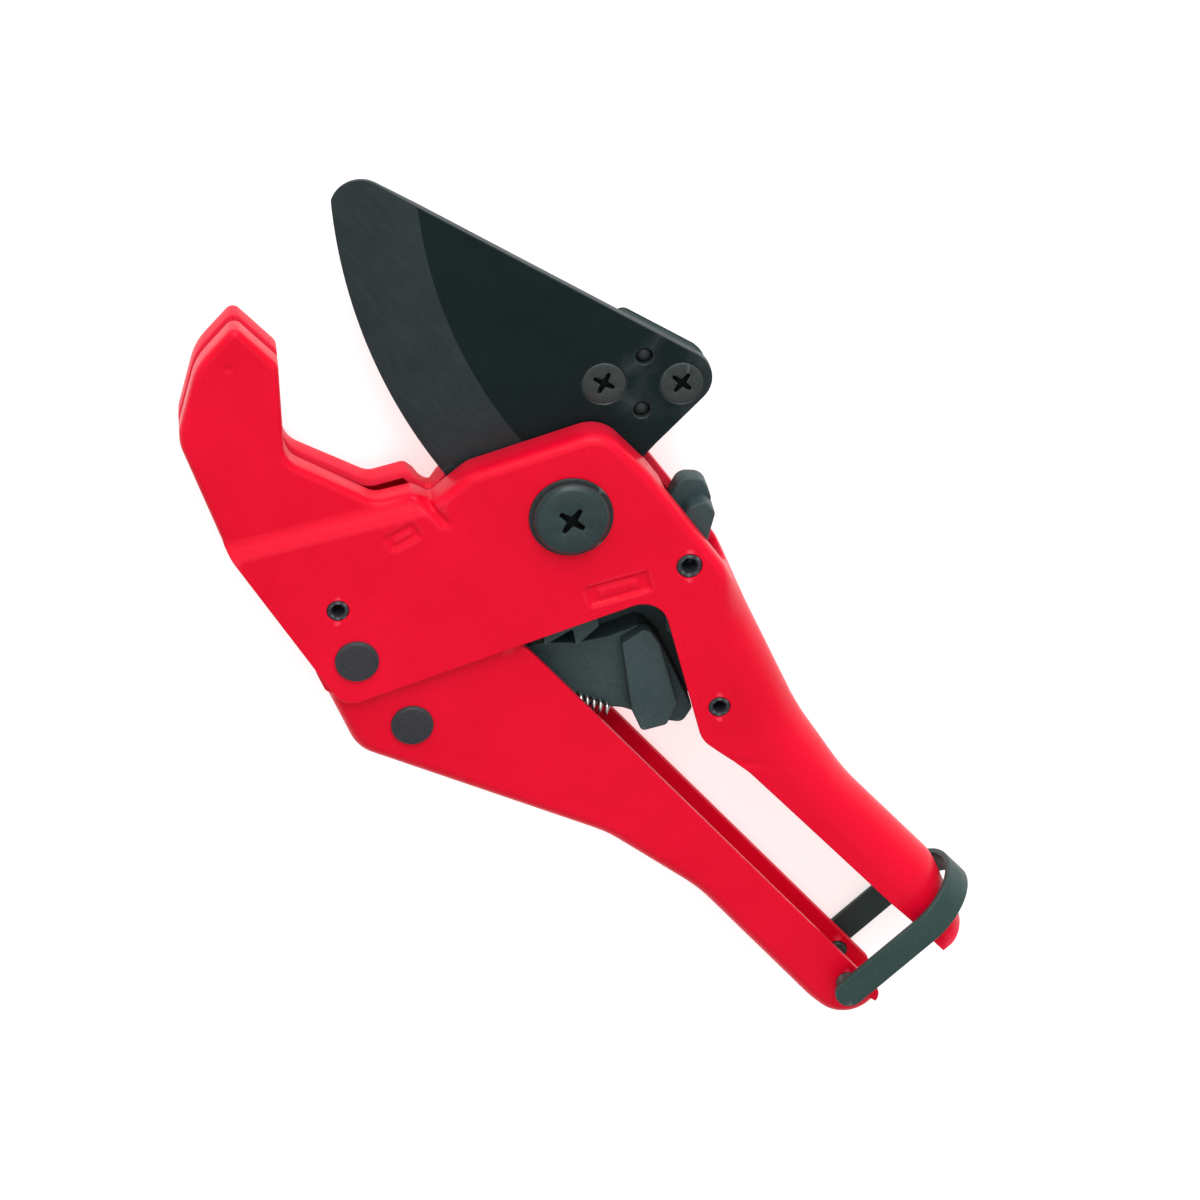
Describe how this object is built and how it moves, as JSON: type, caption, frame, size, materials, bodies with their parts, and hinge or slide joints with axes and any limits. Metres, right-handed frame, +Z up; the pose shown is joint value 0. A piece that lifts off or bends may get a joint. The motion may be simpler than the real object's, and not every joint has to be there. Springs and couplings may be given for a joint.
{
  "type": "pvc pipe cutter",
  "caption": "Ratchet cutter for plastic pipe: slotted hook jaw, screwed-on swinging blade with toothed sector, folded steel handles, drive and holding pawls, and a locking bail.",
  "frame": {"origin": "bottom centre of the whole tool as it lies on its side, on its back face", "axes": "+X along the tool from the jaw to the handle ends, +Y towards the blade and the upper handle, +Z up through the tool's thickness, along every pivot"},
  "size_m": [0.2316, 0.1166, 0.0268],
  "materials": {
    "red_paint": "semi-gloss red enamel on sheet steel",
    "blade_steel": "satin black coating on hardened steel",
    "black_steel": "black oxide",
    "bail_steel": "satin black oxide strip",
    "screw_steel": "black oxide, slightly glossy",
    "rivet_steel": "dark oiled steel",
    "dark_steel": "dark oiled steel",
    "spring_steel": "bright spring wire"
  },
  "bodies": {
    "frame": {"frame": "red_paint", "jaw_pin": "dark_steel", "jaw_sleeve": "dark_steel", "pivot_bolt": "screw_steel", "pivot_washer": "dark_steel", "hub_washers": "dark_steel", "pivot_nut": "dark_steel", "handle_pivot_rivet": "rivet_steel", "handle_rivet_washer": "dark_steel", "handle_pivot_sleeve": "dark_steel", "handle_spring": "spring_steel", "holding_pawl_pin": "dark_steel", "holding_pawl_spring": "spring_steel", "stop_pin": "dark_steel", "stop_sleeve": "dark_steel"},
    "blade_carrier": {"blade_carrier": "black_steel", "blade": "blade_steel", "blade_screws": "screw_steel", "blade_dowels": "screw_steel"},
    "lower_handle": {"lower_handle": "red_paint", "drive_pawl_rivet": "rivet_steel", "drive_pawl_spring": "spring_steel", "spring_post": "dark_steel"},
    "drive_pawl": {"drive_pawl": "black_steel"},
    "holding_pawl": {"holding_pawl": "black_steel"},
    "lock_bail": {"lock_bail": "bail_steel", "bail_pegs": "dark_steel"}
  },
  "joints": [
    {"name": "handle_open", "type": "hinge", "parent": "frame", "child": "lower_handle", "pos_m": [-0.03694, -0.04237, 0.0134], "axis": [0, 0, -1], "range_deg": [0, 22], "deforming": ["handle_spring"]},
    {"name": "blade_swing", "type": "hinge", "parent": "frame", "child": "blade_carrier", "pos_m": [-0.02894, 0.01463, 0.0134], "axis": [0, 0, 1], "range_deg": [-6, 36]},
    {"name": "drive_pawl_swing", "type": "hinge", "parent": "lower_handle", "child": "drive_pawl", "pos_m": [-0.01574, -0.04567, 0.0134], "axis": [0, 0, -1], "range_deg": [0, 10], "deforming": ["drive_pawl_spring"]},
    {"name": "release_lever", "type": "hinge", "parent": "frame", "child": "holding_pawl", "pos_m": [-0.00134, 0.02463, 0.0134], "axis": [0, 0, 1], "range_deg": [0, 7], "stiffness_Nm_per_rad": 0.05, "deforming": ["holding_pawl_spring"]},
    {"name": "bail_swing", "type": "hinge", "parent": "lower_handle", "child": "lock_bail", "pos_m": [0.10626, -0.02237, 0.0134], "axis": [0, 0, -1], "range_deg": [0, 231]}
  ],
  "couplings": [
    {"joint": "bail_swing", "follows": "handle_open", "ratio": 10.5}
  ]
}
